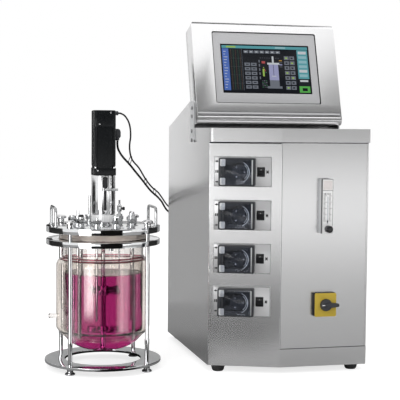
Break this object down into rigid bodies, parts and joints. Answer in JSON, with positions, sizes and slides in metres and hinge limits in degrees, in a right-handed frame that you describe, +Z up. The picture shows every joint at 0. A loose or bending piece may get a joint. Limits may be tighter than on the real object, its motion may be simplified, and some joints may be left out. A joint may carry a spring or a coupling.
{
  "type": "bench bioreactor",
  "caption": "Jacketed glass culture vessel with servo stirrer on a ring stand, cabled to a stainless control cabinet with tilted touchscreen and peristaltic pumps",
  "frame": {"origin": "centre of the base of the bounding box of the rigid pieces, on the surface that it stands on", "axes": "+X to the right from the front, +Y to the back, +Z up; the cabinet front with the main switch faces -Y"},
  "size_m": [0.9204, 0.7839, 1.0302],
  "materials": {
    "stainless_brushed": "fine brushed",
    "stainless_polished": "mirror polished",
    "rubber": "moulded",
    "connector_black": "moulded",
    "bezel_grey": "satin",
    "screen_glass": "glossy touch surface",
    "pump_black": "moulded",
    "rotor_grey": "moulded",
    "smoked_cover": "smoked clear plastic",
    "clear_acrylic": "clear acrylic",
    "knob_black": "moulded",
    "switch_yellow": "moulded",
    "gasket": "silicone",
    "borosilicate": "clear blown glass",
    "medium_magenta": "clear magenta liquid",
    "probe_black": "moulded",
    "probe_steel": "turned",
    "motor_black": "satin black",
    "cable_black": "cable jacket"
  },
  "bodies": {
    "bioreactor": {"cabinet_body": "stainless_brushed", "service_panel": "stainless_brushed", "top_cap": "stainless_brushed", "console_housing": "stainless_brushed", "console_strap_left": "stainless_brushed", "console_strap_right": "stainless_brushed", "cabinet_foot_front_left": "rubber", "cabinet_foot_front_right": "rubber", "cabinet_foot_rear_left": "rubber", "cabinet_foot_rear_right": "rubber", "rear_connector_plate": "connector_black", "motor_plug": "connector_black", "screen_bezel": "bezel_grey", "touch_screen": "screen_glass", "pump_1_head": "pump_black", "pump_2_head": "pump_black", "pump_3_head": "pump_black", "pump_4_head": "pump_black", "flow_meter_body": "clear_acrylic", "main_switch_plate": "switch_yellow", "base_ring": "stainless_polished", "stand_pillar_front_left": "stainless_polished", "stand_pillar_front_right": "stainless_polished", "stand_pillar_rear_right": "stainless_polished", "stand_pillar_rear_left": "stainless_polished", "clamp_ring": "stainless_polished", "head_plate": "stainless_polished", "lift_handle_left": "stainless_polished", "lift_handle_right": "stainless_polished", "inoculation_cap": "stainless_polished", "sampling_tube": "stainless_polished", "sparger": "stainless_polished", "motor_lantern": "stainless_polished", "head_gasket": "gasket", "glass_vessel": "borosilicate", "culture_medium": "medium_magenta", "ph_probe": "probe_black", "oxygen_probe": "probe_steel", "motor_body": "motor_black", "motor_end_cap": "motor_black", "motor_power_cable": "cable_black", "encoder_cable": "cable_black"},
    "agitator": {"agitator_shaft": "stainless_polished", "upper_impeller": "stainless_polished", "lower_impeller": "stainless_polished"},
    "pump_1_rotor": {"pump_1_rotor": "rotor_grey"},
    "pump_1_cover": {"pump_1_cover": "smoked_cover"},
    "pump_1_rocker": {"pump_1_rocker": "pump_black"},
    "pump_2_rotor": {"pump_2_rotor": "rotor_grey"},
    "pump_2_cover": {"pump_2_cover": "smoked_cover"},
    "pump_2_rocker": {"pump_2_rocker": "pump_black"},
    "pump_3_rotor": {"pump_3_rotor": "rotor_grey"},
    "pump_3_cover": {"pump_3_cover": "smoked_cover"},
    "pump_3_rocker": {"pump_3_rocker": "pump_black"},
    "pump_4_rotor": {"pump_4_rotor": "rotor_grey"},
    "pump_4_cover": {"pump_4_cover": "smoked_cover"},
    "pump_4_rocker": {"pump_4_rocker": "pump_black"},
    "flow_knob": {"flow_meter_knob": "knob_black"},
    "main_switch": {"main_switch_handle": "knob_black"},
    "sampling_knob": {"sampling_valve_knob": "knob_black"}
  },
  "joints": [
    {"name": "agitator_spin", "type": "hinge", "parent": "bioreactor", "child": "agitator", "pos_m": [-0.28915, -0.08535, 0.229], "axis": [0, 0, 1], "continuous": true},
    {"name": "pump_1_rotor_spin", "type": "hinge", "parent": "bioreactor", "child": "pump_1_rotor", "pos_m": [0.0701, -0.27934, 0.5815], "axis": [0.3556, 0.9346, 0], "continuous": true},
    {"name": "pump_1_cover_hinge", "type": "hinge", "parent": "bioreactor", "child": "pump_1_cover", "pos_m": [0.09853, -0.30867, 0.5815], "axis": [0, 0, 1], "range_deg": [0, 110]},
    {"name": "pump_1_rocker_tilt", "type": "hinge", "parent": "bioreactor", "child": "pump_1_rocker", "pos_m": [0.13357, -0.28209, 0.5815], "axis": [0.9346, -0.3556, 0], "range_deg": [-14, 0]},
    {"name": "pump_2_rotor_spin", "type": "hinge", "parent": "bioreactor", "child": "pump_2_rotor", "pos_m": [0.0701, -0.27934, 0.4572], "axis": [0.3556, 0.9346, 0], "continuous": true},
    {"name": "pump_2_cover_hinge", "type": "hinge", "parent": "bioreactor", "child": "pump_2_cover", "pos_m": [0.09853, -0.30867, 0.4572], "axis": [0, 0, 1], "range_deg": [0, 110]},
    {"name": "pump_2_rocker_tilt", "type": "hinge", "parent": "bioreactor", "child": "pump_2_rocker", "pos_m": [0.13357, -0.28209, 0.4572], "axis": [0.9346, -0.3556, 0], "range_deg": [-14, 0]},
    {"name": "pump_3_rotor_spin", "type": "hinge", "parent": "bioreactor", "child": "pump_3_rotor", "pos_m": [0.0701, -0.27934, 0.3329], "axis": [0.3556, 0.9346, 0], "continuous": true},
    {"name": "pump_3_cover_hinge", "type": "hinge", "parent": "bioreactor", "child": "pump_3_cover", "pos_m": [0.09853, -0.30867, 0.3329], "axis": [0, 0, 1], "range_deg": [0, 110]},
    {"name": "pump_3_rocker_tilt", "type": "hinge", "parent": "bioreactor", "child": "pump_3_rocker", "pos_m": [0.13357, -0.28209, 0.3329], "axis": [0.9346, -0.3556, 0], "range_deg": [-14, 0]},
    {"name": "pump_4_rotor_spin", "type": "hinge", "parent": "bioreactor", "child": "pump_4_rotor", "pos_m": [0.0701, -0.27934, 0.2086], "axis": [0.3556, 0.9346, 0], "continuous": true},
    {"name": "pump_4_cover_hinge", "type": "hinge", "parent": "bioreactor", "child": "pump_4_cover", "pos_m": [0.09853, -0.30867, 0.2086], "axis": [0, 0, 1], "range_deg": [0, 110]},
    {"name": "pump_4_rocker_tilt", "type": "hinge", "parent": "bioreactor", "child": "pump_4_rocker", "pos_m": [0.13357, -0.28209, 0.2086], "axis": [0.9346, -0.3556, 0], "range_deg": [-14, 0]},
    {"name": "flow_meter_knob_turn", "type": "hinge", "parent": "bioreactor", "child": "flow_knob", "pos_m": [0.32075, -0.34085, 0.42], "axis": [0, 1, 0], "range_deg": [0, 720]},
    {"name": "main_switch_turn", "type": "hinge", "parent": "bioreactor", "child": "main_switch", "pos_m": [0.32075, -0.32585, 0.2], "axis": [0, 1, 0], "range_deg": [-90, 0]},
    {"name": "sampling_valve_turn", "type": "hinge", "parent": "bioreactor", "child": "sampling_knob", "pos_m": [-0.21674, -0.01074, 0.461], "axis": [1, 0, 0], "range_deg": [0, 360]}
  ]
}
